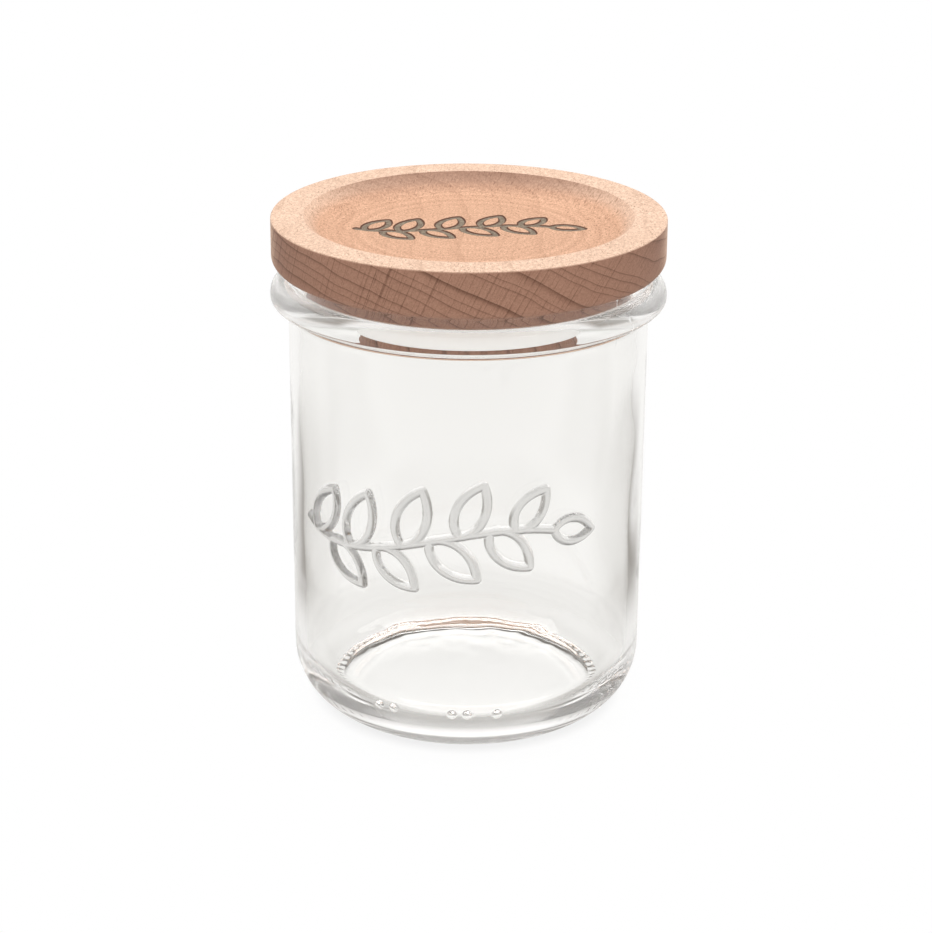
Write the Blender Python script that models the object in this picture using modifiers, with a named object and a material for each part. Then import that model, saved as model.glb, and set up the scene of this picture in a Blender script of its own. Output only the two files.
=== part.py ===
"""Round glass storage jar with a turned beech lid and a silicone seal.

The jar is one piece of blown glass: a pushed-up base on a narrow standing ring, a big soft
heel, a straight wall and a heavy bead below a short upright rim. The lid is one turned disc with a
stacking dish on top and a plug below. A clear seal with two soft lips sits in the plug's
groove and meets the mouth. The lid lifts straight out, and turns in the mouth.

Metres, +Z up. The origin is the middle of the ring that the jar stands on.
"""

import math

import bpy

TURN_STEPS = 64  # facets round every turned piece

# Glass body, outside
JAR_HEIGHT = 0.1322
BODY_RADIUS = 0.0512  # outside of the wall, just above the heel
BODY_TAPER = 0.0002  # how much wider the wall is under the bead
HEEL_RADIUS = 0.0182  # the soft corner between wall and base
HEEL_INSET = 0.0098  # from the wall in to the standing ring
RING_WIDTH = 0.0029  # flat that the jar stands on
RING_STEP_RADIUS = 0.0008  # rounding on the inner edge of that flat
PUSH_UP_STEP = 0.0010  # height of the push-up just inside the standing ring
PUSH_UP_RISE = 0.0010  # further rise of the push-up from there to its middle

# Glass bead and rim
BEAD_OVERHANG = 0.0051  # how far the bead stands out from the wall
BEAD_DROP = 0.0084  # from the rim down to the widest line of the bead
BEAD_LOWER_RADIUS = 0.0014
BEAD_FILLET = 0.0040  # hollow where the bead's underside runs into the wall
RIM_FILLET = 0.0006  # hollow where the rim's upright edge meets the bead
RIM_CORNER = 0.0012  # rounding on both edges of the rim

# Glass body, inside
WALL = 0.0034
NECK_STEP = 0.0002  # how much narrower the mouth is than the wall's inside
NECK_LENGTH = 0.0190  # straight bore below the rim
NECK_SLOPE = 0.0060  # height over which the bore opens out to the wall
FLOOR_RADIUS = 0.0300  # of the nearly flat floor
SLOPE_RADIUS = 0.0300  # the wide arc from the floor towards the heel
INNER_HEEL_RADIUS = 0.0150  # the tighter arc from there up into the wall
BASE_THICKNESS = 0.0030

# Lid
LID_SETBACK = 0.0005  # how far the lid's edge lies inside the bead's widest line
LID_THICKNESS = 0.0138
LID_TOP_ROUND = 0.0006
LID_BOTTOM_ROUND = 0.0030
LID_LAND = 0.0093  # flat band round the dish
DISH_DEPTH = 0.0050
DISH_COVE = 0.0110  # width of the dish's curved side
PLUG_DEPTH = 0.0113
PLUG_CLEARANCE = 0.0009  # between plug and mouth, bridged by the seal's lips
PLUG_BEVEL = 0.0003
GROOVE_DROP = 0.0065  # from the lid's underside to the groove
GROOVE_HEIGHT = 0.0040
GROOVE_DEPTH = 0.0026

# Seal
SEAL_BACK = 0.0022  # thickness of the band that lies in the groove
LIP_COUNT = 2
LIP_THICKNESS = 0.0013
LIP_DROOP = 0.0002  # the lips point down a little towards their edge

# Clearances
SEAT_GAP = 0.0003  # between the rim and the lid that rests on it
GROOVE_GAP = 0.0003  # round the seal in its groove
LIP_GAP = 0.0003  # between the seal's lips and the mouth

# Colours
GLASS_COLOUR = (0.93, 0.96, 0.95, 1.0)
BEECH_COLOUR = (0.72, 0.49, 0.35, 1.0)
SILICONE_COLOUR = (0.86, 0.86, 0.84, 1.0)

# Sizes that follow from those above
WALL_RADIUS_TOP = BODY_RADIUS + BODY_TAPER
BEAD_RADIUS = WALL_RADIUS_TOP + BEAD_OVERHANG
MOUTH_RADIUS = WALL_RADIUS_TOP - WALL - NECK_STEP
LID_RADIUS = BEAD_RADIUS - LID_SETBACK
LID_SEAT = JAR_HEIGHT + SEAT_GAP
PLUG_RADIUS = MOUTH_RADIUS - PLUG_CLEARANCE
GROOVE_RADIUS = PLUG_RADIUS - GROOVE_DEPTH


def arc(centre, radius, start, end, steps):
    """Points on a circle in the (radius, height) plane, from start to end in degrees."""
    points = []
    for step in range(steps + 1):
        angle = math.radians(start + (end - start) * step / steps)
        points.append((centre[0] + radius * math.cos(angle), centre[1] + radius * math.sin(angle)))
    return points


def dome(edge, top, steps):
    """Shallow parabola from the edge point (radius, height) to height top on the axis."""
    points = []
    for step in range(steps + 1):
        radius = edge[0] * (1 - step / steps)
        share = radius / edge[0]
        points.append((radius, top + (edge[1] - top) * share * share))
    return points


def material(name, colour, roughness, transmission=0.0):
    made = bpy.data.materials.new(name)
    made.use_nodes = True
    shader = made.node_tree.nodes["Principled BSDF"]
    shader.inputs["Base Color"].default_value = colour
    shader.inputs["Roughness"].default_value = roughness
    shader.inputs["Metallic"].default_value = 0.0
    shader.inputs["IOR"].default_value = 1.5
    shader.inputs["Transmission Weight"].default_value = transmission
    made.diffuse_color = colour
    return made


def turned(name, profile, closed, finish, collection):
    """Turns a profile of (radius, height) points round the Z axis.

    The profile runs down its outer side. Closed ones are rings, open ones end on the axis.
    """
    mesh = bpy.data.meshes.new(name)
    edges = [(i, i + 1) for i in range(len(profile) - 1)]
    if closed:
        edges.append((len(profile) - 1, 0))
    mesh.from_pydata([(radius, 0.0, height) for radius, height in profile], edges, [])
    mesh.materials.append(finish)
    piece = bpy.data.objects.new(name, mesh)
    collection.objects.link(piece)

    screw = piece.modifiers.new("Turn", "SCREW")
    screw.axis = "Z"
    screw.angle = 2 * math.pi
    screw.steps = TURN_STEPS
    screw.render_steps = TURN_STEPS
    screw.use_merge_vertices = True
    screw.merge_threshold = 0.00001
    screw.use_smooth_shade = True

    normals = piece.modifiers.new("Even shading", "WEIGHTED_NORMAL")
    normals.keep_sharp = True
    return piece


def inside_of_jar():
    """From the middle of the floor out, round the inner heel and up to the mouth's edge."""
    wall = BODY_RADIUS - WALL
    floor_edge = PUSH_UP_STEP + BASE_THICKNESS
    floor = dome((FLOOR_RADIUS, floor_edge), floor_edge + PUSH_UP_RISE, 3)

    # The wide arc starts level on the floor, the tight one ends upright in the wall.
    reach = SLOPE_RADIUS - INNER_HEEL_RADIUS
    tilt = math.asin((wall - FLOOR_RADIUS - INNER_HEEL_RADIUS) / reach)
    middle = (FLOOR_RADIUS, floor_edge + SLOPE_RADIUS)
    slope = arc(middle, SLOPE_RADIUS, -90, -90 + math.degrees(tilt), 2)
    heel = (middle[0] + reach * math.sin(tilt), middle[1] - reach * math.cos(tilt))
    neck = JAR_HEIGHT - NECK_LENGTH
    corner = (MOUTH_RADIUS + RIM_CORNER, JAR_HEIGHT - RIM_CORNER)
    return (
        floor[::-1]
        + slope[1:]
        + arc(heel, INNER_HEEL_RADIUS, -90 + math.degrees(tilt), 0, 6)[1:]
        + [(WALL_RADIUS_TOP - WALL, neck - NECK_SLOPE), (MOUTH_RADIUS, neck)]
        + arc(corner, RIM_CORNER, 180, 90, 3)
    )


def bead():
    """From the rim's flat top down its short upright edge, round the bead and in to the wall."""
    middle = JAR_HEIGHT - BEAD_DROP
    corner = (WALL_RADIUS_TOP - RIM_CORNER, JAR_HEIGHT - RIM_CORNER)
    edge = arc(corner, RIM_CORNER, 90, 0, 3)

    # A small hollow joins the upright edge to the bead's round upper side.
    rise = math.sqrt((BEAD_OVERHANG + RIM_FILLET) ** 2 - RIM_FILLET ** 2)
    meet = math.degrees(math.atan2(rise, RIM_FILLET))
    hollow_centre = (WALL_RADIUS_TOP + RIM_FILLET, middle + rise)
    hollow = arc(hollow_centre, RIM_FILLET, 180, 180 + meet, 3)
    upper = arc((WALL_RADIUS_TOP, middle), BEAD_OVERHANG, meet, 0, 8)

    # The underside's arc and the fillet touch where the line between their centres crosses.
    span = BEAD_LOWER_RADIUS + BEAD_FILLET
    sideways = span - BEAD_OVERHANG
    down = math.sqrt(span ** 2 - sideways ** 2)
    touch = math.degrees(math.atan2(down, sideways))
    lower = arc((BEAD_RADIUS - BEAD_LOWER_RADIUS, middle), BEAD_LOWER_RADIUS, 0, -touch, 5)
    fillet = arc((WALL_RADIUS_TOP + BEAD_FILLET, middle - down), BEAD_FILLET, 180 - touch, 180, 5)
    return edge + hollow + upper[1:] + lower[1:] + fillet[1:]


def foot():
    """From the bottom of the wall round the heel, over the standing ring and up the push-up."""
    ring_radius = BODY_RADIUS - HEEL_INSET
    across = HEEL_RADIUS - HEEL_INSET
    centre = (BODY_RADIUS - HEEL_RADIUS, math.sqrt(HEEL_RADIUS ** 2 - across ** 2))
    sweep = math.degrees(math.atan2(centre[1], across))
    heel = arc(centre, HEEL_RADIUS, 0, -sweep, 9)
    ring_inside = ring_radius - RING_WIDTH
    step = arc((ring_inside, RING_STEP_RADIUS), RING_STEP_RADIUS, -90, -155, 3)
    push_up = (step[-1][0] - PUSH_UP_STEP, PUSH_UP_STEP)
    return heel + step + dome(push_up, PUSH_UP_STEP + PUSH_UP_RISE, 4)


def glass_jar(collection):
    profile = inside_of_jar() + bead() + foot()
    glass = material("clear_glass", GLASS_COLOUR, 0.02, transmission=1.0)
    return turned("glass_jar", profile, False, glass, collection)


def lid_top():
    """From the middle of the dish out over its cove and the flat band, heights from the seat."""
    dish_edge = LID_RADIUS - LID_LAND
    cove = (DISH_COVE ** 2 + DISH_DEPTH ** 2) / (2 * DISH_DEPTH)
    floor = LID_THICKNESS - DISH_DEPTH
    sweep = math.degrees(math.atan2(DISH_COVE, cove - DISH_DEPTH))
    side = arc((dish_edge - DISH_COVE, floor + cove), cove, -90, -90 + sweep, 6)
    edge = (LID_RADIUS - LID_TOP_ROUND, LID_THICKNESS - LID_TOP_ROUND)
    return [(0.0, floor)] + side + arc(edge, LID_TOP_ROUND, 90, 0, 3)


def lid_plug():
    """From the lid's underside down the plug, in and out of the seal's groove, to the axis."""
    groove_bottom = -GROOVE_DROP - GROOVE_HEIGHT
    return [
        (PLUG_RADIUS, 0.0),
        (PLUG_RADIUS, -GROOVE_DROP),
        (GROOVE_RADIUS, -GROOVE_DROP),
        (GROOVE_RADIUS, groove_bottom),
        (PLUG_RADIUS, groove_bottom),
        (PLUG_RADIUS, -PLUG_DEPTH + PLUG_BEVEL),
        (PLUG_RADIUS - PLUG_BEVEL, -PLUG_DEPTH),
        (0.0, -PLUG_DEPTH),
    ]


def wooden_lid(collection):
    round_centre = (LID_RADIUS - LID_BOTTOM_ROUND, LID_BOTTOM_ROUND)
    side = arc(round_centre, LID_BOTTOM_ROUND, 0, -90, 5)
    beech = material("beech", BEECH_COLOUR, 0.6)
    return turned("wooden_lid", lid_top() + side + lid_plug(), False, beech, collection)


def silicone_seal(collection):
    """A band with soft lips, heights from the middle of the groove."""
    inner = GROOVE_RADIUS + GROOVE_GAP
    band = inner + SEAL_BACK
    tip = MOUTH_RADIUS - LIP_GAP - LIP_THICKNESS / 2
    half = GROOVE_HEIGHT / 2 - GROOVE_GAP
    pitch = 2 * half / LIP_COUNT
    profile = [(inner, half), (band, half)]
    for lip in range(LIP_COUNT):
        middle = half - pitch * (lip + 0.5)
        profile.append((band, middle + LIP_THICKNESS / 2))
        profile += arc((tip, middle - LIP_DROOP), LIP_THICKNESS / 2, 90, -90, 4)
        profile.append((band, middle - LIP_THICKNESS / 2))
    profile += [(band, -half), (inner, -half)]
    silicone = material("clear_silicone", SILICONE_COLOUR, 0.3, transmission=0.6)
    return turned("silicone_seal", profile, True, silicone, collection)


def main():
    for old in list(bpy.data.objects):
        bpy.data.objects.remove(old, do_unlink=True)
    collection = bpy.data.collections.new("storage_jar")
    bpy.context.scene.collection.children.link(collection)

    glass_jar(collection)

    # The lid and its seal hang from one guide on the jar's axis, which lifts them together.
    guide = bpy.data.objects.new("lid_lift_guide", None)
    guide.empty_display_size = PLUG_RADIUS
    guide.location = (0.0, 0.0, LID_SEAT)
    collection.objects.link(guide)
    wooden_lid(collection).parent = guide
    seal = silicone_seal(collection)
    seal.parent = guide
    seal.location = (0.0, 0.0, -GROOVE_DROP - GROOVE_HEIGHT / 2)


main()
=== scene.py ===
# %% [markdown]
# Glass storage jar with a turned beech lid.
# The imported solids give the rim's height and the lid's size. This lesson dresses them: the
# glass gets its mould marks and a raised sprig, the lid its wood and a burnt sprig, the seal its
# lips.

import math

import bmesh
import bpy
from mathutils import Matrix, Vector, kdtree, noise


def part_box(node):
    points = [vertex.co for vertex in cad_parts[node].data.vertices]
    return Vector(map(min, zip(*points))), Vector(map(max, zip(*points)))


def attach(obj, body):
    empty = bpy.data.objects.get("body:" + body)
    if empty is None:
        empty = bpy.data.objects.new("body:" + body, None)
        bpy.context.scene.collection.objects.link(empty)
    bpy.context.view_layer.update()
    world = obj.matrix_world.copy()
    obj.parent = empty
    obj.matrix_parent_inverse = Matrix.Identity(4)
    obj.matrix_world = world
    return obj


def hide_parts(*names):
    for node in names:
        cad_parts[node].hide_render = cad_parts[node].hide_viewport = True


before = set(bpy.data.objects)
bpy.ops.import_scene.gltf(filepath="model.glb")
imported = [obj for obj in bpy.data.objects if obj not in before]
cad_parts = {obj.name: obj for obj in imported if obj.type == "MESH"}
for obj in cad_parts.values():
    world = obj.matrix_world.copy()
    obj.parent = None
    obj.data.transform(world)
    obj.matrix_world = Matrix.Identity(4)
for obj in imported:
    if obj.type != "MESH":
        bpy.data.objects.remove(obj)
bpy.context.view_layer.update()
MM = 0.001

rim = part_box("glass_jar")[1].z
lid_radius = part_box("wooden_lid")[1].x
lid_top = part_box("wooden_lid")[1].z
print("jar height", round(rim / MM, 1), "lid top", round(lid_top / MM, 1))

# %% [markdown]
# Every piece here was turned or blown round one upright axis, so one outline spun a full
# turn makes each of them. The outline is drawn as points of radius and height. Arcs give its
# round stretches, and long straight runs are divided so that later steps have points to move.

# %% Outline helpers
def arc(centre, radius, start, end, steps):
    """Points on a circle in the (radius, height) plane, angles in degrees."""
    angles = [math.radians(start + (end - start) * i / steps) for i in range(steps + 1)]
    return [(centre[0] + radius * math.cos(a), centre[1] + radius * math.sin(a)) for a in angles]


def dome(edge, top, steps):
    """Shallow parabola from an edge point (radius, height) in to height top on the axis."""
    radii = [edge[0] * (1 - i / steps) for i in range(steps + 1)]
    return [(r, top + (edge[1] - top) * (r / edge[0]) ** 2) for r in radii]


def divided(points, longest):
    """The same outline with no straight run longer than longest."""
    result = [points[0]]
    for (r0, z0), (r1, z1) in zip(points, points[1:]):
        parts = max(1, math.ceil(math.hypot(r1 - r0, z1 - z0) / longest))
        result += [(r0 + (r1 - r0) * i / parts, z0 + (z1 - z0) * i / parts)
                   for i in range(1, parts + 1)]
    return result


print("a quarter turn in 8 steps has", len(arc((0, 0), 1, 0, 90, 8)), "points")

# %% [markdown]
# Blender's spin turns the outline about Z. Its two ends on the axis become many points in
# one place, so doubles are merged. The normals are worked out again after that, because a
# spin can turn a shape inside out.

# %% Spinning an outline
def spun(outline, steps, ring=False):
    """A bmesh with the outline, which runs down its outer side, turned about Z."""
    bm = bmesh.new()
    verts = [bm.verts.new((r, 0.0, z)) for r, z in outline]
    edges = [bm.edges.new(pair) for pair in zip(verts, verts[1:])]
    if ring:
        edges.append(bm.edges.new((verts[-1], verts[0])))
    bmesh.ops.spin(bm, geom=verts + edges, cent=(0, 0, 0), axis=(0, 0, 1), dvec=(0, 0, 0),
                   angle=2 * math.pi, steps=steps, use_merge=True, use_duplicate=False)
    bmesh.ops.remove_doubles(bm, verts=bm.verts, dist=0.001 * MM)
    bmesh.ops.recalc_face_normals(bm, faces=bm.faces)
    return bm


ball = spun(arc((0, 0), 1, 90, -90, 8), 16)
print("a half circle of 8 steps, spun in 16, makes a ball of", len(ball.faces), "faces")
ball.free()

# %% [markdown]
# A bmesh becomes an object when its mesh is linked to the scene. Smooth shading hides the
# facets, and edges sharper than a given angle stay crisp, as a turner's cut corner does.

# %% Finishing a piece
def finished(bm, name, finish, sharp_angle=40):
    """Turns a bmesh into a smooth-shaded object whose place is in its mesh."""
    mesh = bpy.data.meshes.new(name)
    bm.to_mesh(mesh)
    bm.free()
    mesh.shade_smooth()
    mesh.set_sharp_from_angle(angle=math.radians(sharp_angle))
    mesh.materials.append(finish)
    piece = bpy.data.objects.new(name, mesh)
    bpy.context.scene.collection.objects.link(piece)
    triangles = sum(len(face.vertices) - 2 for face in mesh.polygons)
    print(name, len(mesh.vertices), "points", triangles, "triangles")
    return piece


# %% [markdown]
# Shader maths is easier to read as arithmetic, so a small class wraps a socket, and its
# operators add the Math nodes. A soft step is used so often that it gets two words of its
# own: above rises once, and between rises and falls again.

# %% Sums of sockets
class Socket:
    """A shader output that can be used in sums."""

    def __init__(self, nodes, socket):
        self.nodes = nodes
        self.socket = socket

    def __add__(self, other):
        return self.nodes.math("ADD", self, other)

    def __radd__(self, other):
        return self.nodes.math("ADD", other, self)

    def __sub__(self, other):
        return self.nodes.math("SUBTRACT", self, other)

    def __rsub__(self, other):
        return self.nodes.math("SUBTRACT", other, self)

    def __mul__(self, other):
        return self.nodes.math("MULTIPLY", self, other)

    def __rmul__(self, other):
        return self.nodes.math("MULTIPLY", other, self)

    def __truediv__(self, other):
        return self.nodes.math("DIVIDE", self, other)

    def __pow__(self, other):
        return self.nodes.math("POWER", self, other)

    def above(self, low, high):
        """0 below low, 1 above high, and smooth between them."""
        settings = {"interpolation_type": "SMOOTHSTEP"}
        return self.nodes.add("ShaderNodeMapRange", settings, self, low, high, 0.0, 1.0)

    def between(self, rise, fall):
        """Rises from 0 to 1 over the first pair of values and falls over the second."""
        return self.above(*rise) * (1.0 - self.above(*fall))


# %% [markdown]
# Every node comes from one method, add. It sets the node's settings first, because some of
# them change which sockets it has, and then fills or links its sockets. The methods below it
# only give short names to what is used again and again.

# %% Adding nodes
class Nodes:
    """Adds nodes to one tree."""

    def __init__(self, tree):
        self.tree = tree

    def fill(self, socket, value):
        """Links a socket to a Socket, or sets it to a plain value."""
        if isinstance(value, Socket):
            self.tree.links.new(value.socket, socket)
        else:
            socket.default_value = value

    def add(self, kind, settings=None, *values, output=0, **named):
        """One node. values fill its first sockets, named ones go by name with _ for spaces."""
        node = self.tree.nodes.new(kind)
        for key, value in (settings or {}).items():
            setattr(node, key, value)
        sockets = [s for s in node.inputs if s.enabled]
        pairs = list(zip(sockets, values))
        pairs += [(node.inputs[key.replace("_", " ")], value) for key, value in named.items()]
        for socket, value in pairs:
            self.fill(socket, value)
        shown = [s for s in node.outputs if s.enabled]
        return Socket(self, shown[output] if isinstance(output, int) else node.outputs[output])

    def outputs(self, kind, *names):
        """Several outputs of one node that has no sockets to fill."""
        node = self.add(kind).socket.node
        return [Socket(self, node.outputs[name]) for name in names]

    def parts(self, vector):
        """The x, y and z of a vector."""
        split = self.add("ShaderNodeSeparateXYZ", {}, vector).socket.node
        return [Socket(self, output) for output in split.outputs]

    def vector(self, x, y, z):
        return self.add("ShaderNodeCombineXYZ", {}, x, y, z)

    def math(self, operation, *values):
        return self.add("ShaderNodeMath", {"operation": operation}, *values)

    def noise(self, vector, scale, detail=2.0, roughness=0.5):
        settings = {"noise_dimensions": "3D"}
        return self.add("ShaderNodeTexNoise", settings, Vector=vector, Scale=scale,
                        Detail=detail, Roughness=roughness)

    def noise_along(self, value, scale, detail):
        """Noise that changes with one value only."""
        settings = {"noise_dimensions": "1D"}
        return self.add("ShaderNodeTexNoise", settings, W=value, Scale=scale, Detail=detail)

    def mix(self, share, first, second):
        """Mixes two colours."""
        settings = {"data_type": "RGBA", "clamp_factor": True}
        return self.add("ShaderNodeMix", settings, share, first, second)


# %% [markdown]
# A new material already has a Principled shader joined to its output. Each finish here
# starts from it, and sets or links the shader's sockets by the names that the editor shows.

# %% Starting a finish
def new_finish(name):
    """A new material with its node helper, its Principled shader and its output."""
    made = bpy.data.materials.new(name)
    made.use_nodes = True
    tree = made.node_tree
    return made, Nodes(tree), tree.nodes["Principled BSDF"], tree.nodes["Material Output"]


def feed(nodes, shader, **sockets):
    """Sets or links sockets of a shader by name, with _ for spaces."""
    for key, value in sockets.items():
        nodes.fill(shader.inputs[key.replace("_", " ")], value)


def told(made):
    """Prints the size of a finish and hands it on."""
    print(made.name, "has", len(made.node_tree.nodes), "nodes")
    return made


# %% [markdown]
# Clear glass is a Principled shader with full transmission. Lamps could reach the floor and
# the wood behind it only by chance, through rays that bend twice, which leaves them dark and
# grainy. So for shadow rays and for light on its way from a matt surface the glass is
# replaced by a plain see-through shader that takes a little of the light. Light caught in
# the thick bead would circle there until it is given up, so after some bends it leaves the
# same way. An attribute on the mesh marks the raised sprig, which gets painted shade in
# the glass's colour, most on the lower side of each stroke.

# %% Glass
GRAZING_SHADE = 0.4
MOST_BENDS = (6.0, 12.0)
CLEAR = (0.995, 0.995, 0.988, 1)
# Painted shade for the raised strokes of the sprig
STROKE_PAINTED_SHADE = (0.022, 0.015, 0.010, 1)
PASSED_LIGHT = (0.95, 0.945, 0.94, 1)


def clear_glass():
    made, nodes, shader, output = new_finish("clear_glass")
    mark = nodes.add("ShaderNodeAttribute", {"attribute_name": "mark"}, output="Fac")
    # The attribute mark paints shade into the strokes' colour
    feed(nodes, shader, Base_Color=nodes.mix(mark, CLEAR, STROKE_PAINTED_SHADE), Roughness=0.0, IOR=1.5,
         Transmission_Weight=1.0)
    plain = nodes.add("ShaderNodeBsdfTransparent", {}, PASSED_LIGHT)
    shadow, matt, bends = nodes.outputs("ShaderNodeLightPath", "Is Shadow Ray", "Is Diffuse Ray",
                                        "Ray Depth")
    graze = nodes.add("ShaderNodeLayerWeight", output="Facing")
    shaded = nodes.math("MAXIMUM", shadow, matt) * (1.0 - graze * graze * GRAZING_SHADE)
    share = nodes.math("MAXIMUM", shaded, bends.above(*MOST_BENDS))
    mixed = nodes.add("ShaderNodeMixShader", {}, share, Socket(nodes, shader.outputs[0]), plain)
    feed(nodes, output, Surface=mixed)
    return made


glass = told(clear_glass())

# %% [markdown]
# A jar like this is blown into a mould. Its wall is nearly upright, and a little wider at
# the top. The mouth follows from the wall, and later the plug and the seal follow from the
# mouth, so that a change here moves all that fits into it.

# %% Jar sizes
BODY_RADIUS = 51.2 * MM
BODY_TAPER = 0.2 * MM
WALL = 3.4 * MM
NECK_STEP = 0.2 * MM
BEAD_OVERHANG = 5.1 * MM

wall_top = BODY_RADIUS + BODY_TAPER
bead_radius = wall_top + BEAD_OVERHANG
mouth_radius = wall_top - WALL - NECK_STEP
print("mouth", round(2 * mouth_radius / MM, 1), "mm and bead", round(2 * bead_radius / MM, 1))

# %% [markdown]
# Inside, the floor rises a little to the middle, as a blown base does. A shallow arc leads
# from it into a tight one that ends upright in the wall. The two arcs set how thick the glass
# is all round the heel, and that decides how light bends there.

# %% Inside of the jar
FLOOR_RADIUS = 30.0 * MM
SLOPE_RADIUS = 30.0 * MM
INNER_HEEL_RADIUS = 15.0 * MM
PUSH_UP_STEP = 1.0 * MM
PUSH_UP_RISE = 1.0 * MM
BASE_THICKNESS = 3.0 * MM
RIM_CORNER = 1.2 * MM
NECK_LENGTH = 19.0 * MM
NECK_SLOPE = 6.0 * MM


def inside_of_jar():
    """From the middle of the floor out, round the inner heel and up to the mouth's edge."""
    wall = BODY_RADIUS - WALL
    floor_edge = PUSH_UP_STEP + BASE_THICKNESS
    floor = dome((FLOOR_RADIUS, floor_edge), floor_edge + PUSH_UP_RISE, 12)
    reach = SLOPE_RADIUS - INNER_HEEL_RADIUS
    tilt = math.asin((wall - FLOOR_RADIUS - INNER_HEEL_RADIUS) / reach)
    middle = (FLOOR_RADIUS, floor_edge + SLOPE_RADIUS)
    slope = arc(middle, SLOPE_RADIUS, -90, -90 + math.degrees(tilt), 8)
    heel = (middle[0] + reach * math.sin(tilt), middle[1] - reach * math.cos(tilt))
    neck = rim - NECK_LENGTH
    corner = (mouth_radius + RIM_CORNER, rim - RIM_CORNER)
    return (floor[::-1] + slope[1:]
            + arc(heel, INNER_HEEL_RADIUS, -90 + math.degrees(tilt), 0, 18)[1:]
            + [(wall_top - WALL, neck - NECK_SLOPE), (mouth_radius, neck)]
            + arc(corner, RIM_CORNER, 180, 90, 8))


print("inside outline", len(inside_of_jar()), "points")

# %% [markdown]
# The heavy bead under the rim is what a hand grips. It is drawn as arcs that run smoothly
# into each other, because any corner would show as a hard line of light: a small hollow
# under the rim, the round top of the bead, its tighter lower edge, and a fillet to the wall.

# %% Bead under the rim
BEAD_DROP = 8.4 * MM
BEAD_LOWER_RADIUS = 1.4 * MM
BEAD_FILLET = 4.0 * MM
RIM_FILLET = 0.6 * MM


def bead():
    """From the rim's flat top down its short upright edge, round the bead and in to the wall."""
    middle = rim - BEAD_DROP
    edge = arc((wall_top - RIM_CORNER, rim - RIM_CORNER), RIM_CORNER, 90, 0, 8)
    rise = math.sqrt((BEAD_OVERHANG + RIM_FILLET) ** 2 - RIM_FILLET ** 2)
    meet = math.degrees(math.atan2(rise, RIM_FILLET))
    hollow = arc((wall_top + RIM_FILLET, middle + rise), RIM_FILLET, 180, 180 + meet, 8)
    upper = arc((wall_top, middle), BEAD_OVERHANG, meet, 0, 22)
    span = BEAD_LOWER_RADIUS + BEAD_FILLET
    sideways = span - BEAD_OVERHANG
    down = math.sqrt(span ** 2 - sideways ** 2)
    touch = math.degrees(math.atan2(down, sideways))
    lower = arc((bead_radius - BEAD_LOWER_RADIUS, middle), BEAD_LOWER_RADIUS, 0, -touch, 14)
    fillet = arc((wall_top + BEAD_FILLET, middle - down), BEAD_FILLET, 180 - touch, 180, 12)
    return edge + hollow + upper[1:] + lower[1:] + fillet[1:]


print("bead outline", len(bead()), "points")

# %% [markdown]
# The jar stands on a narrow flat ring, which stays steady on a table that is not quite even.
# The big soft heel is one arc from the wall down to the ring, and inside the ring the glass
# is pushed up.

# %% Heel and standing ring
HEEL_RADIUS = 18.2 * MM
HEEL_INSET = 9.8 * MM
RING_FLAT = 2.9 * MM
RING_STEP = 0.15 * MM
RING_STEP_WIDTH = 0.7 * MM

ring_inner = BODY_RADIUS - HEEL_INSET - RING_FLAT


def foot():
    """From the bottom of the wall round the heel, over the standing ring and up inside it."""
    across = HEEL_RADIUS - HEEL_INSET
    centre = (BODY_RADIUS - HEEL_RADIUS, math.sqrt(HEEL_RADIUS ** 2 - across ** 2))
    sweep = math.degrees(math.atan2(centre[1], across))
    heel = arc(centre, HEEL_RADIUS, 0, -sweep, 24)
    push_up = (ring_inner - RING_STEP_WIDTH, RING_STEP)
    return heel + [(ring_inner, 0.0)] + dome(push_up, PUSH_UP_STEP + PUSH_UP_RISE, 14)


print("the flat of the ring starts", round(ring_inner / MM, 1), "mm from the axis")

# %% [markdown]
# A leafy sprig is this jar's ornament. A mould cutter would draw it as lines of even width,
# so it is drawn the same way here: flat, in millimetres, with cubic curves for the stem and
# for both sides of each pointed leaf.

# %% Curve and leaf
def curve_points(a, b, c, d, steps=24):
    """Points on a cubic curve from a to d with handles b and c."""
    points = []
    for i in range(steps + 1):
        t = i / steps
        s = 1 - t
        points.append(tuple(s ** 3 * p + 3 * s * s * t * q + 3 * s * t * t * r + t ** 3 * e
                            for p, q, r, e in zip(a, b, c, d)))
    return points


def leaf(root, heading, length, width):
    """Outline of a pointed leaf, as one closed line."""
    along = Vector((math.cos(math.radians(heading)), math.sin(math.radians(heading))))
    side = Vector((-along.y, along.x))
    root = Vector(root)

    def at(share, off):
        return tuple(root + along * (share * length) + side * (off * width))

    upper = curve_points(at(0, 0), at(0.15, 0.62), at(0.65, 0.72), at(1, 0))
    lower = curve_points(at(1, 0), at(0.65, -0.72), at(0.15, -0.62), at(0, 0))
    return upper + lower[1:]


print("a leaf is a closed line of", len(leaf((0, 0), 0, 16, 8)), "points")

# %% [markdown]
# The leaves stand by turns on the two sides of the stem, each at its own angle to it. The
# sprig is used twice, raised on the glass and burnt into the lid, so it takes a scale.

# %% Sprig
STEM = ((-45, -3), (-24, -15), (4, 9), (33, 1))
STEM_STEPS = 60
LEAVES = (  # share along the stem, angle to the stem, length, width
    (0.07, 78, 16, 8.0), (0.17, -40, 15.5, 7.6), (0.27, 64, 18, 8.4), (0.38, -55, 15.5, 7.6),
    (0.48, 56, 18, 8.6), (0.58, -54, 17, 8.4), (0.68, 56, 16.5, 8.0), (0.78, -50, 16, 8.0),
    (0.87, 54, 14, 7.2), (1.00, 4, 13, 6.8))


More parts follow.
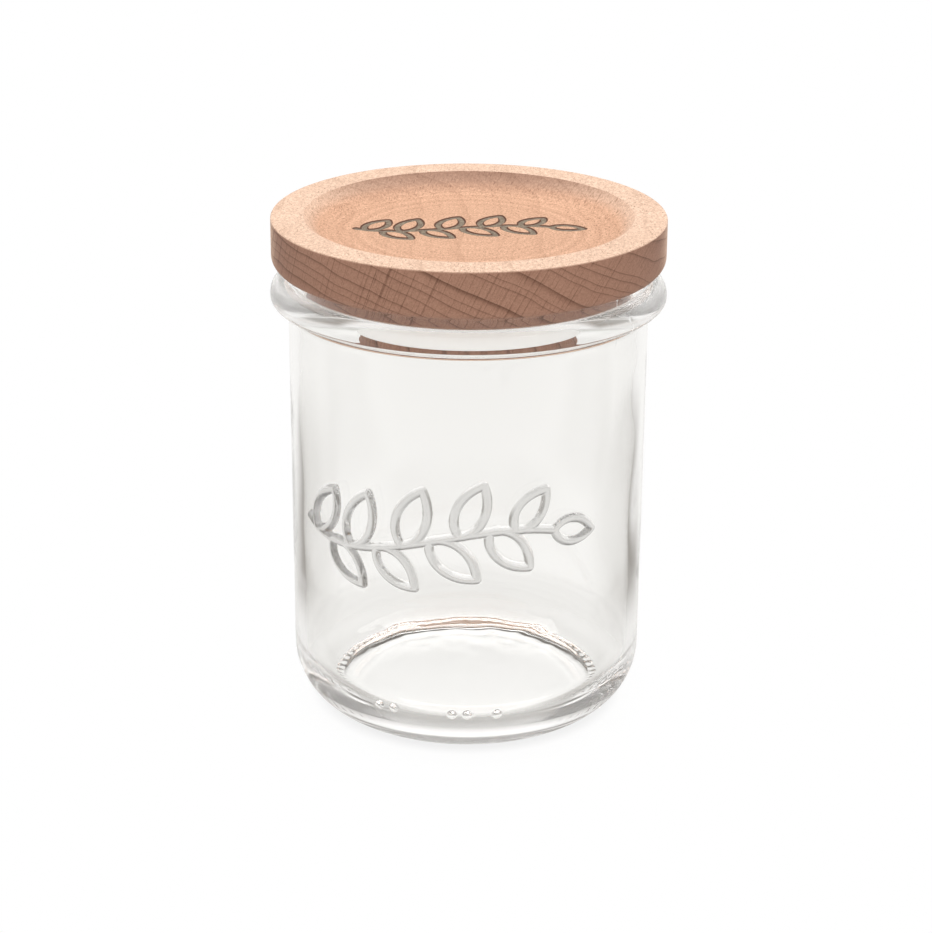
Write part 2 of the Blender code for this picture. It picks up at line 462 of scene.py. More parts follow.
def sprig(scale):
    """Lines of a sprig about 93 by 37 mm at scale 1, centred on the origin."""
    stem = [Vector(p) for p in curve_points(*STEM, STEM_STEPS)]
    lines = [[tuple(p * scale * MM) for p in stem]]
    for share, lean, length, width in LEAVES:
        index = min(STEM_STEPS - 1, round(share * STEM_STEPS))
        run = stem[index + 1] - stem[index]
        heading = math.degrees(math.atan2(run.y, run.x)) + lean
        outline = leaf(stem[round(share * STEM_STEPS)], heading, length, width)
        lines.append([(x * scale * MM, y * scale * MM) for x, y in outline])
    return lines


print("the sprig has a stem and", len(sprig(1.0)) - 1, "leaves")

# %% [markdown]
# Both sprigs are made by moving the points of a mesh, and how far a point moves depends on
# its distance to the nearest line. A search tree of close points along the lines answers
# that quickly for some hundred thousand points.

# %% Distance to the nearest line
def point_tree(points):
    tree = kdtree.KDTree(len(points))
    for index, point in enumerate(points):
        tree.insert(point, index)
    tree.balance()
    return tree


def line_tree(lines, spacing):
    """A search tree of points along the lines, for the distance to the nearest stroke."""
    points = []
    for line in lines:
        for (x0, y0), (x1, y1) in zip(line, line[1:]):
            parts = max(1, math.ceil(math.hypot(x1 - x0, y1 - y0) / spacing))
            points += [(x0 + (x1 - x0) * i / parts, y0 + (y1 - y0) * i / parts, 0.0)
                       for i in range(parts + 1)]
    return point_tree(points)


glass_strokes = line_tree(sprig(1.0), 0.15 * MM)
print("the stem's middle is", round(glass_strokes.find((0, 0, 0))[2] / MM, 2), "mm from a line")

# %% [markdown]
# For the raised sprig the front of the wall is unrolled flat, as a paper label would be, and
# laid over the drawing. Points inside the glass, behind it or well above and below the sprig
# count as far away from it.

# %% Where the glass sprig is
STROKE = 1.45 * MM
SPRIG_TURN = -8.0 * MM
SPRIG_HEIGHT = 68.0 * MM
SPRIG_LOW, SPRIG_TOP = 40 * MM, 95 * MM
FAR_AWAY = 1.0

outer_side = BODY_RADIUS - WALL / 2


def from_axis(point):
    return math.hypot(point.x, point.y)


def front_angle(point):
    """Angle round the axis from the front, positive to the right."""
    return math.atan2(point.x, -point.y)


def unrolled(point):
    """A point of the wall, laid flat over the drawing of the sprig."""
    return (front_angle(point) * BODY_RADIUS - SPRIG_TURN, point.z - SPRIG_HEIGHT, 0.0)


def stroke_distance(point):
    beyond = not SPRIG_LOW < point.z < SPRIG_TOP or point.y > 0
    if beyond or from_axis(point) < outer_side:
        return FAR_AWAY
    return glass_strokes.find(unrolled(point))[2]


middle = Vector((0, -BODY_RADIUS, SPRIG_HEIGHT))
print("nearest line to the front", round(stroke_distance(middle) / MM, 2), "mm")

# %% [markdown]
# The mould leaves other marks too. A few small dots on the heel, ribs across the standing
# ring and a fine seam up the bead on two sides tell how the jar was made. A function for
# each gives the distance from a point to the mark.

# %% Where the mould marks are
DOT_HEIGHT = 14.4 * MM
DOT_ANGLES = (-28.6, -23.6, -4.4, 0.4, 9.9)
SEAM_ANGLE = 52.5
SEAM_LENGTH = 14 * MM

dot_tree = point_tree([(BODY_RADIUS * math.sin(a), -BODY_RADIUS * math.cos(a), DOT_HEIGHT)
                       for a in map(math.radians, DOT_ANGLES)])


def dot_distance(point):
    return dot_tree.find(point)[2]


def ring_distance(point):
    """0 on the standing ring, far away anywhere else."""
    low = point.z < 0.2 * MM
    return 0.0 if low and ring_inner - 0.5 * MM < from_axis(point) else FAR_AWAY


def seam_distance(point):
    if from_axis(point) < outer_side or point.z < rim - SEAM_LENGTH:
        return FAR_AWAY
    angle = math.degrees(front_angle(point)) - SEAM_ANGLE
    angle = (angle + 90) % 180 - 90
    return abs(math.radians(angle)) * bead_radius


print(len(DOT_ANGLES), "dots, and seams at", SEAM_ANGLE, "and", SEAM_ANGLE - 180, "degrees")

# %% [markdown]
# The glass starts as a plain spin and is cut finer only where a mark needs it. Halving the
# edges again and again near a mark gives it enough points, and leaves the rest of the jar
# light to handle.

# %% Cutting a mesh finer
def cut_finer(bm, distance, reach, longest):
    """Halves the edges of faces nearer than reach, down to a longest edge."""
    while True:
        edges = {edge for face in bm.faces if distance(face.calc_center_median()) < reach
                 for edge in face.edges if edge.calc_length() > longest}
        if not edges:
            break
        bmesh.ops.subdivide_edges(bm, edges=list(edges), cuts=1, use_grid_fill=True)
    print("faces with edges up to", round(longest / MM, 2), "mm near a mark:", len(bm.faces))


# %% [markdown]
# Each mark has its own section. Molten glass pulls strokes and dots into the shape of a
# bead, with steep sides and a round top, while the seam is a soft hump. The ribs are lower
# on the far side of the ring, where little of them can be made out.

# %% Shape of the marks
RIBS = 66
RIB_DEPTH = 0.30 * MM
RIB_FADE = 18 * MM


def limited(value):
    """The value, kept between 0 and 1."""
    return max(0.0, min(1.0, value))


def smooth_hump(distance, reach):
    """1 at distance 0, falling smoothly to 0 at reach."""
    if distance >= reach:
        return 0.0
    return 0.5 + 0.5 * math.cos(math.pi * distance / reach)


def round_rise(distance, reach):
    """1 at distance 0, falling like the side of a bead of glass to 0 at reach."""
    if distance >= reach:
        return 0.0
    return (1 - (distance / reach) ** 2) ** 0.85


def rib_rise(point):
    """Height of the ribs at a point of the standing ring."""
    share = 1 - abs(2 * (from_axis(point) - ring_inner) / RING_FLAT - 1)
    share = limited(share * 3) * (1 - 0.8 * limited(point.y / RIB_FADE))
    return RIB_DEPTH * share * (0.5 - 0.5 * math.cos(front_angle(point) * RIBS))


print("half way down a stroke is", round(round_rise(0.5, 1), 2), "of its height")

# %% [markdown]
# Now the points move: those of the strokes and the seam straight away from the axis, those
# of the dots along the surface's normal, those of the ribs up. The attribute "mark" tells
# the glass finish where to paint shade on the strokes, most of all on their lower sides.

# %% Raising the marks
STROKE_RISE = 1.25 * MM
DOT_RADIUS = 1.30 * MM
DOT_RISE = 0.55 * MM
SEAM_RISE = 0.12 * MM
SEAM_HALF = 0.35 * MM


def stroke_shade(point, stroke):
    """How much painted shade a stroke gets here, from its height and the side of it that the
    point is on.
    """
    flat = unrolled(point)
    below = limited((glass_strokes.find(flat)[0].y - flat[1]) / STROKE * 1.7 - 0.15)
    return min(1.0, 2.0 * stroke) * (0.40 + 0.60 * below)


def raise_marks(bm):
    bm.normal_update()
    mark = bm.verts.layers.float.new("mark")
    for vert in bm.verts:
        p = vert.co
        away = Vector((p.x, p.y, 0.0))
        if away.length < 1 * MM:
            continue
        away.normalize()
        stroke = round_rise(stroke_distance(p), STROKE)
        # Painted shade for the glass finish, darkest on a stroke's lower side
        if stroke > 0:
            vert[mark] = stroke_shade(p, stroke)
        out = STROKE_RISE * stroke + SEAM_RISE * smooth_hump(seam_distance(p), SEAM_HALF)
        lift = 0.0 if ring_distance(p) else rib_rise(p)
        dot = DOT_RISE * round_rise(dot_distance(p), DOT_RADIUS)
        vert.co = p + away * out + vert.normal * dot + Vector((0, 0, lift))


print("the sprig stands", round(STROKE_RISE / MM, 2), "mm proud of the wall")

# %% [markdown]
# Blown glass is never quite even. Its inside, which no mould touches, wanders more than its
# outside, and most of all along the far side of the floor's edge. Slow noise moves the
# points, finer noise adds ripples near the floor, and both fade out below the neck, where
# the lid must fit.

# %% Uneven glass
INSIDE_WAVE = 0.16 * MM
OUTSIDE_WAVE = 0.03 * MM
FLOOR_RIPPLE = 0.14 * MM
LOW_PART = 40 * MM
FAR_SIDE = 25 * MM
EVEN_NECK = 20 * MM
NECK_FADE = 15 * MM


def add_waves(bm):
    over_base = PUSH_UP_STEP + PUSH_UP_RISE + 1 * MM
    for vert in bm.verts:
        p = vert.co
        if p.z > rim - EVEN_NECK:
            continue
        inside = from_axis(p) < outer_side and p.z > over_base
        far = limited(p.y / FAR_SIDE)
        depth = INSIDE_WAVE if inside else OUTSIDE_WAVE
        depth *= 0.12 + 0.88 * far if p.z < LOW_PART else 1.0
        low = max(0.0, 1 - p.z / LOW_PART) if inside else 0.0
        wave = noise.noise(Vector((p.x * 95, p.y * 95, p.z * 38)))
        ripple = noise.noise(Vector((p.x * 240, p.y * 240, p.z * 120 + 7)))
        fade = min(1.0, (rim - EVEN_NECK - p.z) / NECK_FADE)
        vert.co = p + vert.normal * fade * (depth * wave + low * far * FLOOR_RIPPLE * ripple)


print("the glass is even from", round((rim - EVEN_NECK) / MM, 1), "mm up")

# %% [markdown]
# With all of that the jar is one closed outline, spun and then worked over. The strokes and
# dots are cut in two rounds, first coarse and a little wider, so that the faces get smaller
# step by step towards the mark.

# %% Jar
GLASS_STEPS = 192
GLASS_FINER = (  # distance to a mark, how near to it, longest edge there
    (stroke_distance, STROKE + 0.9 * MM, 0.80 * MM),
    (stroke_distance, STROKE + 0.2 * MM, 0.32 * MM),
    (dot_distance, DOT_RADIUS + 0.8 * MM, 0.80 * MM),
    (dot_distance, DOT_RADIUS + 0.2 * MM, 0.25 * MM),
    (ring_distance, 1.0 * MM, 0.80 * MM),
    (seam_distance, 1.0 * MM, 0.50 * MM))


def glass_jar():
    outline = inside_of_jar() + bead() + foot()
    bm = spun(divided(outline, 2.0 * MM), GLASS_STEPS)
    for distance, reach, longest in GLASS_FINER:
        cut_finer(bm, distance, reach, longest)
    raise_marks(bm)
    add_waves(bm)
    return bm


jar = finished(glass_jar(), "jar_glass", glass, 60)

# %% [markdown]
# The lid is cut from one beech board with its fibres running front to back. Its pattern is
# worked out in millimetres through the whole solid, so rings and rays meet at every edge
# without a join, as they do in real wood. The growth rings are circles round the tree's
# middle, which lies to the lower left of the board and runs along the fibres. Slow noise
# bends them a little, and each ends in a thin dark line.

# %% Growth rings
PITH_X, PITH_Z = -88.6, -45.6
RING_RADIUS = 210.0
RING_WIDTH = 3.1


def growth_rings(nodes, place, x, z):
    """Slow bend, distance from the tree's middle, way round it, ring line and late wood."""
    wander = nodes.noise(place, 0.035, 2.0) - 0.5
    across, up = x - PITH_X, z - PITH_Z
    radius = (across * across + up * up) ** 0.5 + wander * 5.0
    around = nodes.math("ARCTAN2", up, across) * RING_RADIUS
    turns = radius / RING_WIDTH + nodes.noise_along(radius, 0.12, 1.0) * 2.2
    phase = nodes.math("FRACT", turns)
    return wander, radius, around, phase ** 12.0, phase ** 3.0


print("about", round(2 * lid_radius / MM / RING_WIDTH), "growth rings across the lid")

# %% [markdown]
# Where the surface faces along the fibres, their cut ends show and look darker: the front
# and back of the lid's edge are dark end grain, while its flat top is pale. The direction
# that the surface faces tells which it is, so one finish does for the whole lid.

# %% Where fibre ends show
def fibre_ends(nodes, normal):
    """Share of cut fibre ends on upright surfaces, and on all surfaces."""
    _, along, up = nodes.parts(normal)
    ends = nodes.math("ABSOLUTE", along)
    upright = 1.0 - up.above(0.30, 0.62)
    cut_ends = ends.above(0.0, 0.38) * upright
    return cut_ends, cut_ends + ends.above(0.12, 0.75) * (1.0 - upright) * 0.8


# %% [markdown]
# Beech is known by its rays, thin spindles that reach far out from the tree's middle and a
# little along the fibres. On the flat top they are short dark dashes, for which cells
# stretched along the ray do well. On end grain they are long fine lines across the rings,
# and there a step that repeats round the tree, broken up by noise, looks more like them.

# %% Rays
RAY_SPACING = 1.45


def ray_dashes(nodes, place, y, radius, around):
    """Short dashes on the flat top."""
    def spindles(tall, along, out, low, high):
        cell = nodes.vector(around * (1 / tall), y * (1 / along), radius * (1 / out))
        cells = nodes.add("ShaderNodeTexVoronoi", {"feature": "F1"}, Vector=cell, Scale=1.0)
        return 1.0 - cells.above(low, high)

    patchy = nodes.noise(place, 0.06, 2.0).above(0.36, 0.64)
    return nodes.math("MAXIMUM", spindles(0.55, 3.0, 8.0, 0.10, 0.30) * (0.35 + 0.65 * patchy),
                      spindles(0.40, 1.6, 5.0, 0.12, 0.34) * 0.5)


def ray_lines(nodes, y, radius, around, wander):
    """Long fine lines on end grain."""
    steps = around / RAY_SPACING + nodes.noise_along(around, 0.35, 2.0) * 3.0 + wander * 0.5
    along_ray = nodes.vector(around * 0.7, y * 0.1, radius * 0.22)
    return nodes.math("FRACT", steps) ** 12.0 * nodes.noise(along_ray, 1.0, 2.0).above(0.30, 0.56)


print("a ray line every", RAY_SPACING, "mm on end grain")

# %% [markdown]
# The sprig in the dish is burnt in. A hot stamp leaves a grey-brown floor of char and ash,
# with a thin scorched line round it. The attribute "burn" on the mesh says how deep in the
# burn a point lies, so the colours follow the cut exactly.

# %% Burnt wood
CHAR = (0.12, 0.085, 0.058, 1)
ASH = (0.32, 0.26, 0.19, 1)
SCORCHED = (0.10, 0.036, 0.016, 1)


def burnt(nodes, colour, pores):
    """The colour of the wood, with the burn over it."""
    burn = nodes.add("ShaderNodeAttribute", {"attribute_name": "burn"}, output="Fac")
    deep = nodes.mix(pores.above(0.3, 0.7), CHAR, ASH)
    return nodes.mix(burn.above(0.25, 0.45), colour,
                     nodes.mix(burn.above(0.70, 0.90), SCORCHED, deep))


# %% [markdown]
# The wood's ground colour is darkened by one shade that all its marks take part in: ring
# lines, rays, slow clouds and a fine speckle of cut fibres and pores, drawn out a little
# along the fibres. In the dish the speckle also follows the circles that a lathe leaves. The
# darker the shade, the redder the wood, which three slightly different powers give. The same
# marks feed the bump, together with the tool's own fine rings.

# %% Beech
END_GRAIN = (0.305, 0.160, 0.107, 1)
LONG_GRAIN = (0.765, 0.53, 0.393, 1)
DISH_GRAIN = (0.66, 0.385, 0.25, 1)
DISH_EDGE = (42.0, 46.5)
DISH_LEVEL = (138.0, 140.0)
TOOL_MARKS = 7.0
BUMP_HEIGHT = 0.06 * MM


def beech():
    made, nodes, shader, _ = new_finish("beech")
    metres, normal = nodes.outputs("ShaderNodeTexCoord", "Object", "Normal")
    place = nodes.add("ShaderNodeVectorMath", {"operation": "SCALE"}, metres, Scale=1000.0)
    x, y, z = nodes.parts(place)
    wander, radius, around, ring, late = growth_rings(nodes, place, x, z)
    cut_ends, end_grain = fibre_ends(nodes, normal)
    turned = (x * x + y * y) ** 0.5
    in_dish = (1.0 - turned.above(*DISH_EDGE)) * z.above(*DISH_LEVEL)
    ground = nodes.mix(end_grain, nodes.mix(in_dish, LONG_GRAIN, DISH_GRAIN), END_GRAIN)
    rays = (ray_dashes(nodes, place, y, radius, around) * 0.40 * (1.0 - cut_ends)
            + ray_lines(nodes, y, radius, around, wander) * 0.60 * cut_ends)

    stretched = nodes.vector(x, y * 0.8, z)
    pores = nodes.noise(stretched, 1.5, 3.0, 0.8)
    grit = nodes.noise(stretched, 3.6, 1.0, 0.5)
    circles = 1.0 + in_dish * (nodes.noise_along(turned, 0.45, 3.0) - 0.5) * 0.28
    speckle = (0.06 + pores * (1.50 - 0.7 * end_grain) + grit * 0.42 + end_grain * 0.32) * circles
    cloud = 0.93 + nodes.noise(place, 0.05, 2.0) * 0.14
    rings = (1.0 - ring * (0.10 + 0.50 * cut_ends)) * (1.0 - late * (0.02 + 0.06 * end_grain))
    shade = rings * (1.0 - rays) * speckle * cloud
    colour = nodes.add("ShaderNodeVectorMath", {"operation": "MULTIPLY"}, ground,
                       nodes.vector(shade, shade ** 1.2, shade ** 1.35))

    tool = nodes.math("SINE", turned * TOOL_MARKS)
    height = tool * 0.20 + pores * 0.8 + grit * 0.5 - ring * end_grain * 0.4 - rays
    bump = nodes.add("ShaderNodeBump", {}, Strength=0.35, Distance=BUMP_HEIGHT, Height=height)
    feed(nodes, shader, Base_Color=burnt(nodes, colour, pores), Roughness=0.60 + pores * 0.15,
         Normal=bump, IOR=1.45)
    return made


wood = told(beech())

# %% [markdown]
# The lid is turned from that board. On top it has a dish with a curved side, in which the
# foot of another jar can stand, and below it a plug that goes into the mouth with a little
# clearance. A groove round the plug holds the seal. All of it is one outline again, from the
# middle of the dish out and down to the middle of the plug's underside.

# %% Lid outline
LID_TOP_ROUND = 0.6 * MM
LID_BOTTOM_ROUND = 3.0 * MM
LID_LAND = 9.3 * MM
DISH_DEPTH = 5.0 * MM
DISH_COVE = 11.0 * MM
PLUG_DEPTH = 11.3 * MM
PLUG_CLEARANCE = 0.9 * MM
PLUG_BEVEL = 0.3 * MM
GROOVE_DROP = 6.5 * MM
GROOVE_HEIGHT = 4.0 * MM
GROOVE_DEPTH = 2.6 * MM
SEAT_GAP = 0.3 * MM

lid_seat = rim + SEAT_GAP
plug_radius = mouth_radius - PLUG_CLEARANCE
groove_radius = plug_radius - GROOVE_DEPTH
dish_floor = lid_top - DISH_DEPTH


def lid_outline():
    cove = (DISH_COVE ** 2 + DISH_DEPTH ** 2) / (2 * DISH_DEPTH)
    sweep = math.degrees(math.atan2(DISH_COVE, cove - DISH_DEPTH))
    side = arc((lid_radius - LID_LAND - DISH_COVE, dish_floor + cove), cove, -90, -90 + sweep, 16)
    edge = (lid_radius - LID_TOP_ROUND, lid_top - LID_TOP_ROUND)
    under = (lid_radius - LID_BOTTOM_ROUND, lid_seat + LID_BOTTOM_ROUND)
    groove_top = lid_seat - GROOVE_DROP
    groove_low = groove_top - GROOVE_HEIGHT
    plug_low = lid_seat - PLUG_DEPTH
    return ([(0.0, dish_floor)] + side + arc(edge, LID_TOP_ROUND, 90, 0, 6)
            + arc(under, LID_BOTTOM_ROUND, 0, -90, 12)
            + [(plug_radius, lid_seat), (plug_radius, groove_top), (groove_radius, groove_top),
               (groove_radius, groove_low), (plug_radius, groove_low),
               (plug_radius, plug_low + PLUG_BEVEL), (plug_radius - PLUG_BEVEL, plug_low),
               (0.0, plug_low)])


print("plug", round(2 * plug_radius / MM, 1), "mm across in a mouth of",
      round(2 * mouth_radius / MM, 1), "mm")

# %% [markdown]
# The burn is also a shallow groove, because charred wood falls away. Near the lines the
# dish is cut finer, as the glass was. Then the points inside a line are let down, and every
# point near it gets its share of the attribute "burn".

# %% Lid
LID_STEPS = 200
LID_SPRIG_SCALE = 0.71
LID_SPRIG_BACK = 4 * MM
LID_SPRIG_HALF_X, LID_SPRIG_HALF_Y = 45 * MM, 30 * MM
BURN = 1.15 * MM
BURN_DEPTH = 0.25 * MM

lid_strokes = line_tree(sprig(LID_SPRIG_SCALE), 0.1 * MM)


def burn_distance(point):
    beyond = abs(point.y) > LID_SPRIG_HALF_Y or abs(point.x) > LID_SPRIG_HALF_X
    if beyond or point.z < dish_floor - 0.1 * MM:
        return FAR_AWAY
    return lid_strokes.find((point.x, point.y - LID_SPRIG_BACK, 0.0))[2]


def wooden_lid():
    bm = spun(divided(lid_outline(), 2.5 * MM), LID_STEPS)
    cut_finer(bm, burn_distance, BURN + 1.4 * MM, 0.7 * MM)
    cut_finer(bm, burn_distance, BURN + 0.6 * MM, 0.26 * MM)
    burn = bm.verts.layers.float.new("burn")
    for vert in bm.verts:
        distance = burn_distance(vert.co)
        vert[burn] = limited((BURN + 0.4 * MM - distance) / (1.0 * MM))
        vert.co.z -= BURN_DEPTH * limited((BURN - distance) / (0.3 * MM))
    return bm


lid = finished(wooden_lid(), "lid_beech", wood, 40)

# %% [markdown]
# The seal is soft clear silicone. Where it is as thick as here it looks milky, and lets only
# a little light through. So most of it is a pale matt colour with a satin gloss, and a fine
# speckle keeps it from looking like enamel.

# %% Silicone
MILKY = (0.95, 0.95, 0.945, 1)
MILKIEST = (0.985, 0.985, 0.98, 1)
SPECKLE_SCALE = 900.0


def silicone():
    made, nodes, shader, _ = new_finish("clear_silicone")
    place = nodes.add("ShaderNodeTexCoord", output="Object")
    speckle = nodes.noise(place, SPECKLE_SCALE, 2.0)
    feed(nodes, shader, Base_Color=nodes.mix(speckle, MILKY, MILKIEST),
         Roughness=0.32 + speckle * 0.1, IOR=1.41, Transmission_Weight=0.06)
    return made


rubber = told(silicone())

# %% [markdown]
# The seal is a band in the plug's groove with two lips that slope a little down towards the
# glass. Real lips bend against the mouth, and here they stop just short of it, so that no
# piece cuts into another. The outline is a closed loop away from the axis, so this spin
# makes a ring.

# %% Seal
SEAL_BACK = 2.2 * MM
SEAL_STEPS = 180
LIP_COUNT = 2
LIP_THICKNESS = 1.3 * MM
LIP_DROOP = 0.2 * MM
GROOVE_GAP = 0.3 * MM
LIP_GAP = 0.3 * MM
HANG_WIDTH = 0.45 * MM
HANG_DROP = -0.02 * MM


def lip_outline(band, tip, top, pitch):
    """The lips one below the other, each a rounded tongue from the band to its tip."""
    outline = []
    for lip in range(LIP_COUNT):
        level = top - pitch * (lip + 0.5)
        outline.append((band, level + LIP_THICKNESS / 2))
        outline += arc((tip, level - LIP_DROOP), LIP_THICKNESS / 2, 90, -90, 8)
        outline.append((band, level - LIP_THICKNESS / 2))
    return outline


def silicone_seal():
    middle = lid_seat - GROOVE_DROP - GROOVE_HEIGHT / 2
    inner = groove_radius + GROOVE_GAP
    band = inner + SEAL_BACK
    tip = mouth_radius - LIP_GAP - LIP_THICKNESS / 2
    half = GROOVE_HEIGHT / 2 - GROOVE_GAP
    outline = [(inner, middle + half), (band, middle + half)]
    outline += lip_outline(band, tip, middle + half, 2 * half / LIP_COUNT)
    # The last lip ends in a small edge that hangs down beside the wood below the groove
    hang_low = lid_seat - GROOVE_DROP - GROOVE_HEIGHT - HANG_DROP
    hang = arc((mouth_radius - LIP_GAP - HANG_WIDTH / 2, hang_low + HANG_WIDTH / 2),
               HANG_WIDTH / 2, 0, -180, 8)
    turn = next(i for i in range(len(outline) - 1, 0, -1) if outline[i][0] > tip + 0.6 * MM)
    outline = outline[:turn] + hang + [(hang[-1][0], middle - half), (band, middle - half)]
    outline.append((inner, middle - half))
    return spun(outline, SEAL_STEPS, ring=True)


seal = finished(silicone_seal(), "seal_ring", rubber, 40)

# %% [markdown]
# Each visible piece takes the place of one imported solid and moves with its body. The seal's
# body carries the lift, and the lid turns on it, so both leave the jar together.

# %% Pieces on their bodies
for piece, node, body, slot in ((jar, "glass_jar", "jar", "clear_glass"),
                                (lid, "wooden_lid", "lid", "beech"),
                                (seal, "silicone_seal", "seal", "clear_silicone")):
    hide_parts(node)
    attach(piece, body)
    print(piece.name, "stands for", node, "and rides on", body)

# %% [markdown]
# Glass shows what is round it, so a studio puts white and dark card there. Here the floor's
# painted colours do part of that. The eye sees plain white paper, with a thin painted shadow
# where the heel hangs low over it. A look through the glass finds a floor with painted shade
# under and beside the heel. Smooth steps over the distance from the jar, and over how far
# aside a place is, give all of these painted shades.

# %% Painted shade under the heel
EYE_SHADE = 0.12
HEEL_SHADE = 0.34


def seen_shade(away):
    """What the eye sees straight: a thin ring of painted shadow where the heel meets the paper.
    """
    return 1.0 - EYE_SHADE * away.between((37 * MM, 41 * MM), (42 * MM, 48 * MM))


def shade_through_glass(away, aside, behind):
    """Painted shade under the heel, round it, and beside it, weaker on the far side."""
    ring = away.between((37 * MM, 43 * MM), (44 * MM, 55 * MM))
    band = away.between((38 * MM, 48 * MM), (60 * MM, 100 * MM))
    beside = away.between((34 * MM, 44 * MM), (75 * MM, 105 * MM))
    contact = 1.0 - ring * HEEL_SHADE * (1.0 - 0.6 * behind)
    near = 1.0 - band * (0.30 - 0.20 * behind)
    near = near * (1.0 - 0.35 * beside * aside.above(0.45, 0.85) * (1.0 - behind))
    return contact * near


# %% [markdown]
# Farther off, the paper seen through the glass gets painted light under the jar, brighter than
# white, stays pale behind it, and gets painted shade to the sides and towards the front. This
# painted shade draws the glass's edges: they bend the sight sideways, on to the dark parts.

# %% Paper through the glass, with painted light and shade
# Painted light under the jar, plain paper behind it, painted shade to the sides and front
PAINTED_LIGHT_UNDER_JAR = (1.13, 1.125, 1.115, 1)
PAPER_BEHIND = (0.945, 0.935, 0.92, 1)
PAINTED_SHADE_SIDES = (0.36, 0.34, 0.315, 1)
PAPER_SHADE = (0.10, 0.08, 0.05, 1)


def paper_through_glass(nodes, y, away, aside):
    far_end = 1.0 - 0.8 * away.above(220 * MM, 340 * MM)
    # Painted shade to the sides and towards the front
    edge = y.above(-50 * MM, 10 * MM) * aside.above(0.61, 0.84)
    edge = edge * away.above(72 * MM, 130 * MM) * far_end
    front = y.above(-300 * MM, -40 * MM)
    # Painted light under the jar, brighter than white
    bright = nodes.mix(away.above(36 * MM, 60 * MM), PAINTED_LIGHT_UNDER_JAR, PAPER_BEHIND)
    paper = nodes.mix((0.4 + 0.6 * front) * (1.0 - edge), PAINTED_SHADE_SIDES, bright)
    shade = shade_through_glass(away, aside, y.above(-30 * MM, 10 * MM))
    return nodes.mix(shade, PAPER_SHADE, paper)


# %% [markdown]
# The floor's own finish mixes the two. A Light Path node tells the eye's own rays from those
# that come through glass, and matt surfaces get their light from an ordinary pale floor.
# Near the jar a share of real light keeps its shadows, and farther off there is none.

# %% Floor
REAL_PAPER = 0.95
FLOOR_HALF = 2.0
FLOOR_DROP = 0.2 * MM


def pale_floor():
    made, nodes, shader, output = new_finish("pale_floor")
    feed(nodes, shader, Base_Color=(0.90, 0.90, 0.895, 1), Roughness=0.9, Specular_IOR_Level=0.1)
    eye, matt = nodes.outputs("ShaderNodeLightPath", "Is Camera Ray", "Is Diffuse Ray")
    x, y, _ = nodes.parts(nodes.add("ShaderNodeTexCoord", output="Object"))
    away = (x * x + y * y) ** 0.5
    aside = nodes.math("ABSOLUTE", x) / away
    seen = seen_shade(away)
    colour = nodes.mix(eye, paper_through_glass(nodes, y, away, aside),
                       nodes.vector(seen, seen, seen))
    light = nodes.add("ShaderNodeEmission", {}, colour, 1.0)
    share = (1.0 - matt) * (REAL_PAPER + (1.0 - REAL_PAPER) * away.above(44 * MM, 58 * MM))
    mixed = nodes.add("ShaderNodeMixShader", {}, share, Socket(nodes, shader.outputs[0]), light)
    feed(nodes, output, Surface=mixed)
    return made


bm = bmesh.new()
bmesh.ops.create_grid(bm, x_segments=1, y_segments=1, size=FLOOR_HALF)
floor = finished(bm, "floor", told(pale_floor()))
floor.location.z = -FLOOR_DROP

# %% [markdown]
# The room does the rest. The glass sees a bright wall behind and a darker one in front,
# and higher up pale sides and a dark middle over the back, so that its bends show light and
# dark lines. The eye itself sees plain white all round.

# %% Room
ROOM_FRONT = (0.30, 0.28, 0.25, 1)
ROOM_BACK = (1.0, 0.99, 0.975, 1)
ROOM_CEILING = (0.10, 0.085, 0.07, 1)
ROOM_SIDES = (0.95, 0.94, 0.92, 1)
ROOM_SEEN = (1, 1, 1, 1)


def studio():
    world = bpy.data.worlds.new("studio")
    world.use_nodes = True
    sky = Nodes(world.node_tree)
    side, depth, height = sky.parts(sky.add("ShaderNodeTexCoord", output="Generated"))
    aside = sky.math("ABSOLUTE", side)
    back = depth.above(-0.35, 0.35) * (1.0 - 0.45 * aside.above(0.45, 0.90))
    middle = depth.above(-0.15, 0.15) * (1.0 - 0.9 * aside.above(0.35, 0.60))
    walls = sky.mix(back, ROOM_FRONT, ROOM_BACK)
    ceiling = sky.mix(middle, ROOM_SIDES, ROOM_CEILING)
    room = sky.mix(height.above(0.06, 0.36), walls, ceiling)
    eye = sky.add("ShaderNodeLightPath", output="Is Camera Ray")
    feed(sky, world.node_tree.nodes["Background"], Color=sky.mix(eye, room, ROOM_SEEN))
    return world


bpy.context.scene.world = studio()
print("the room has", len(bpy.context.scene.world.node_tree.nodes), "nodes")

# %% [markdown]
# Two square lamps light the matt pieces. A large one overhead and a little behind gives soft
# shadows and the light on the lid's top. A smaller one in front fills the lid's edge. It is
# hidden from the glass, where it would show as a second bright square.

# %% Lamps
def softbox(name, place, target, size, power):
    """A square lamp of a size in metres and a power in watts, turned to a target."""
    lamp = bpy.data.lights.new(name, "AREA")
    lamp.shape = "SQUARE"
    lamp.size = size
    lamp.energy = power
    thing = bpy.data.objects.new(name, lamp)
    bpy.context.scene.collection.objects.link(thing)
    way = Vector(place) - Vector(target)
    turn = way.to_track_quat("Z", "Y").to_matrix().to_4x4()
    thing.matrix_world = Matrix.Translation(Vector(place)) @ turn
    print(name, "stands", round(way.length, 2), "m off")
    return thing


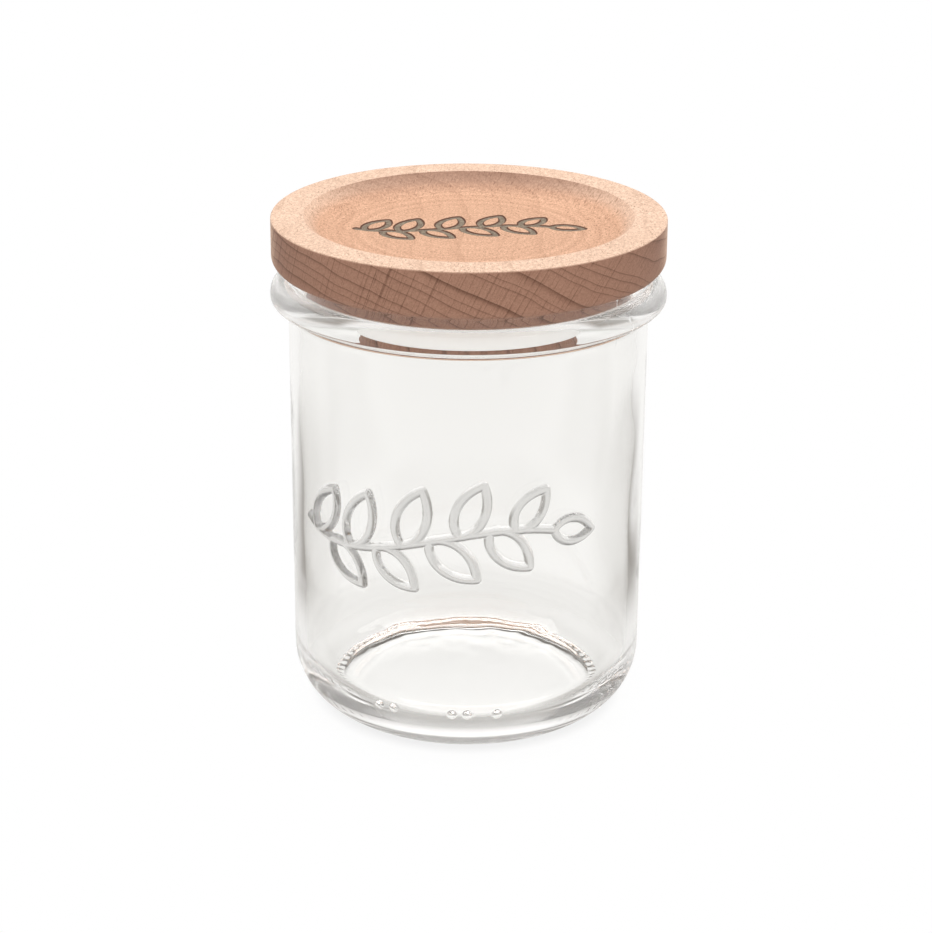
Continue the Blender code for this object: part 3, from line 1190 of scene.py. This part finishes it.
softbox("overhead", (0.05, 0.30, 1.00), (0, 0, 0.1), 0.9, 6.8)
fill = softbox("front fill", (0.0, -1.00, 0.25), (0, 0, 0.12), 0.5, 2.7)
fill.visible_glossy = fill.visible_transmission = False

# %% [markdown]
# The camera looks down on the jar from in front. Its distance, height and slight roll were
# fitted to the edges of the lid and the glass. Its three axes are built one by one, because
# a camera looks along its own minus Z, with Y up in the picture.

# %% Camera
DISTANCE = 0.750
ELEVATION = math.radians(21.48)
ROLL = math.radians(0.37)
AIM = Vector((-0.40 * MM, 0.0, 69.69 * MM))
FOCAL_PIXELS = 2559.15
FRAME_HEIGHT = 933
SENSOR = 36.0

back = Vector((0, -math.cos(ELEVATION), math.sin(ELEVATION)))
right = Vector((1, 0, 0))
upward = back.cross(right)
across = right * math.cos(ROLL) + upward * math.sin(ROLL)
upright = upward * math.cos(ROLL) - right * math.sin(ROLL)
turn = Matrix((across, upright, back)).transposed().to_4x4()
lens = bpy.data.cameras.new("camera")
lens.sensor_width = SENSOR
lens.lens = SENSOR * FOCAL_PIXELS / FRAME_HEIGHT
lens.clip_start = 0.01
camera = bpy.data.objects.new("camera", lens)
bpy.context.scene.collection.objects.link(camera)
camera.matrix_world = Matrix.Translation(AIM + back * DISTANCE) @ turn
bpy.context.scene.camera = camera
print("lens", round(lens.lens, 1), "mm, looking down", round(math.degrees(ELEVATION), 1))

# %% [markdown]
# Light goes many times to and fro inside thick glass. A low limit on its bounces would turn
# the bead and the base grey, so the limits for clear and shiny surfaces are high here.

# %% How far light is followed
scene = bpy.context.scene
scene.view_settings.view_transform = "Standard"
for limit, bounces in (("max_bounces", 128), ("transmission_bounces", 128),
                       ("glossy_bounces", 64), ("diffuse_bounces", 4),
                       ("transparent_max_bounces", 16)):
    setattr(scene.cycles, limit, bounces)
    print(limit, bounces)

# %% [markdown]
# The visible pieces and the imported solids both stand for the same jar. At the end the
# scene is brought up to date.

# %% Last update
bpy.context.view_layer.update()
